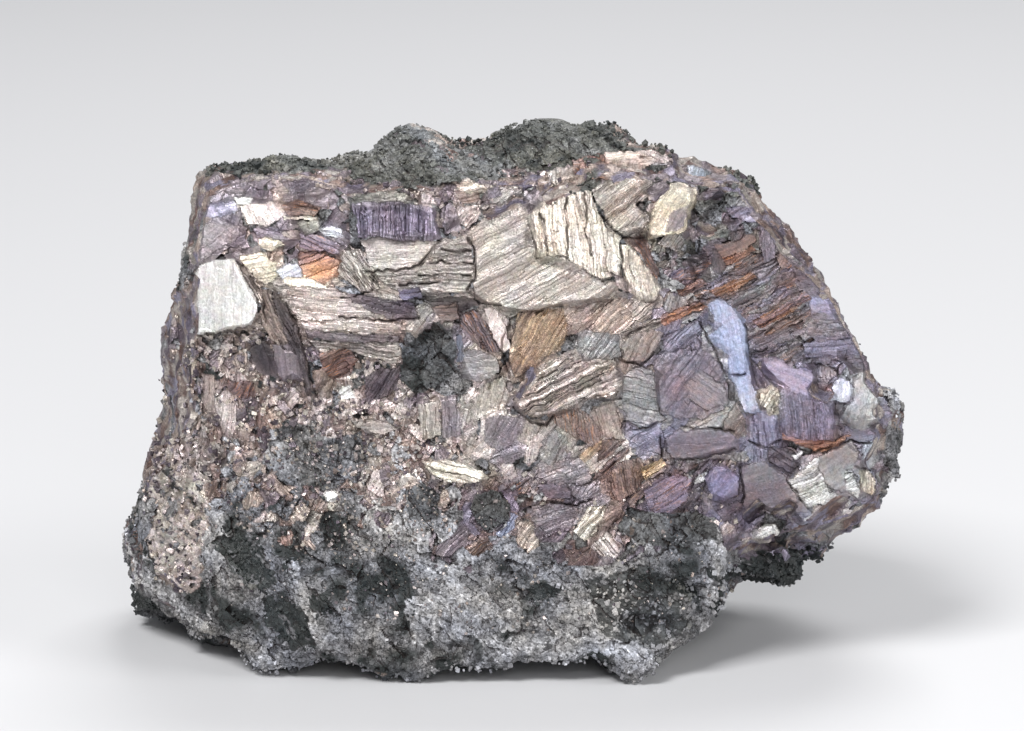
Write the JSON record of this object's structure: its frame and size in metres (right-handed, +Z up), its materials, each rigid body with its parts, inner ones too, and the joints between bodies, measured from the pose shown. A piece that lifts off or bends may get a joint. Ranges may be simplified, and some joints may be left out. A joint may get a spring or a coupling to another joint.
{
  "type": "native bismuth specimen",
  "caption": "Blocky hand specimen of native bismuth: layered metal grains in grey granular rock, broken faces all round, resting on low flat spots of its underside.",
  "frame": {"origin": "centre of the footprint box, on the surface that the specimen stands on", "axes": "+Z up, +X along the width with the overhanging blunt end at +X, and the broad face of metal grains towards -Y"},
  "size_m": [0.072, 0.0398, 0.047],
  "materials": {
    "bismuth_rock": "rough broken rock with bright striated metal grains, tarnished violet, blue and orange"
  },
  "bodies": {
    "root": {"bismuth_specimen": "bismuth_rock"}
  },
  "joints": []
}
